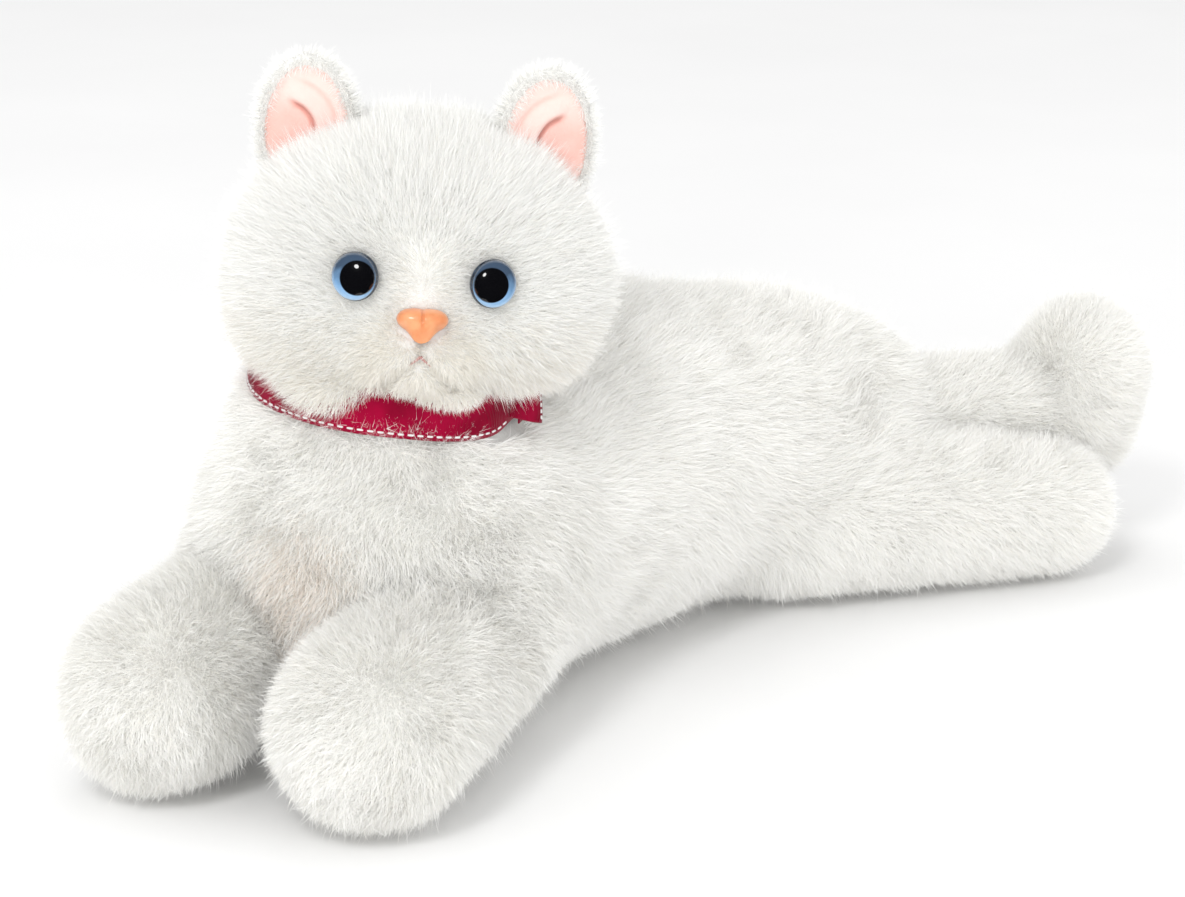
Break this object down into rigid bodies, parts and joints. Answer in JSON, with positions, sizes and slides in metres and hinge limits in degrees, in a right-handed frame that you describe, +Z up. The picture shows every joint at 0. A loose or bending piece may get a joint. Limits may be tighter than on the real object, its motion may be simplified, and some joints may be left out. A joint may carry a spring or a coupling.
{
  "type": "plush cat",
  "caption": "White plush cat lying on its belly with outstretched legs, pink-lined ears, plastic eyes and nose, and a satin ribbon collar.",
  "frame": {"origin": "middle of the bounding box, on the surface that the cat lies on", "axes": "+Z up; the cat lies along Y with its forelegs towards -Y, and its own left side is +X"},
  "size_m": [0.2028, 0.5073, 0.2428],
  "materials": {
    "fur": "long white plush pile",
    "filling": "white polyester fibre",
    "pellet_bag": "plain woven cloth",
    "ribbon": "crimson satin",
    "thread": "white sewing thread",
    "eye": "clear blue with a black pupil",
    "nose": "moulded, peach-orange",
    "washer": "moulded",
    "mouth_thread": "dark rose thread",
    "ear_lining": "short pink plush"
  },
  "bodies": {
    "torso": {"torso_cover": "fur", "torso_stuffing": "filling", "belly_pellet_bag": "pellet_bag"},
    "neck": {"neck_stuffing": "filling", "collar_ribbon": "ribbon", "collar_edge_thread": "thread"},
    "head": {"head_cover": "fur", "head_stuffing": "filling", "eye_left": "eye", "eye_right": "eye", "eye_washer_left": "washer", "eye_washer_right": "washer", "nose": "nose", "nose_washer": "washer", "mouth_thread": "mouth_thread"},
    "ear_left": {"ear_back_left": "fur", "ear_lining_left": "ear_lining"},
    "ear_right": {"ear_back_right": "fur", "ear_lining_right": "ear_lining"},
    "foreleg_left": {"foreleg_left_cover": "fur", "foreleg_left_stuffing": "filling"},
    "foreleg_right": {"foreleg_right_cover": "fur", "foreleg_right_stuffing": "filling"},
    "hindleg_left": {"hindleg_left_cover": "fur", "hindleg_left_stuffing": "filling"},
    "hindleg_right": {"hindleg_right_cover": "fur", "hindleg_right_stuffing": "filling"},
    "tail": {"tail_cover": "fur", "tail_stuffing": "filling"}
  },
  "joints": [
    {"name": "neck_turn", "type": "hinge", "parent": "torso", "child": "neck", "pos_m": [0.0013, -0.1215, 0.122], "axis": [0, 0, 1], "range_deg": [-25, 25], "stiffness_Nm_per_rad": 0.3},
    {"name": "head_nod", "type": "hinge", "parent": "neck", "child": "head", "pos_m": [0.0013, -0.1215, 0.122], "axis": [0.6623, 0.746, -0.0698], "range_deg": [-9, 6], "stiffness_Nm_per_rad": 2},
    {"name": "ear_left_fold", "type": "hinge", "parent": "head", "child": "ear_left", "pos_m": [0.02947, -0.07408, 0.19809], "axis": [0.5486, 0.8272, -0.1212], "range_deg": [-20, 20], "stiffness_Nm_per_rad": 0.02},
    {"name": "ear_right_fold", "type": "hinge", "parent": "head", "child": "ear_right", "pos_m": [-0.02418, -0.1345, 0.20374], "axis": [0.7613, 0.6482, -0.0168], "range_deg": [-20, 20], "stiffness_Nm_per_rad": 0.02},
    {"name": "foreleg_left_lift", "type": "hinge", "parent": "torso", "child": "foreleg_left", "pos_m": [0.03914, -0.12519, 0.044], "axis": [-0.9336, -0.3584, 0], "range_deg": [0, 18]},
    {"name": "foreleg_right_lift", "type": "hinge", "parent": "torso", "child": "foreleg_right", "pos_m": [-0.03368, -0.15314, 0.044], "axis": [-0.9336, -0.3584, 0], "range_deg": [0, 18]},
    {"name": "hindleg_left_spread", "type": "hinge", "parent": "torso", "child": "hindleg_left", "pos_m": [0.00738, 0.10593, 0.031], "axis": [0, 0, -1], "range_deg": [0, 20], "stiffness_Nm_per_rad": 0.05},
    {"name": "hindleg_right_spread", "type": "hinge", "parent": "torso", "child": "hindleg_right", "pos_m": [-0.0431, 0.13449, 0.031], "axis": [0, 0, 1], "range_deg": [0, 20], "stiffness_Nm_per_rad": 0.05},
    {"name": "tail_lift", "type": "hinge", "parent": "torso", "child": "tail", "pos_m": [-0.00998, 0.13414, 0.064], "axis": [0.8704, -0.4924, 0], "range_deg": [0, 30]}
  ]
}
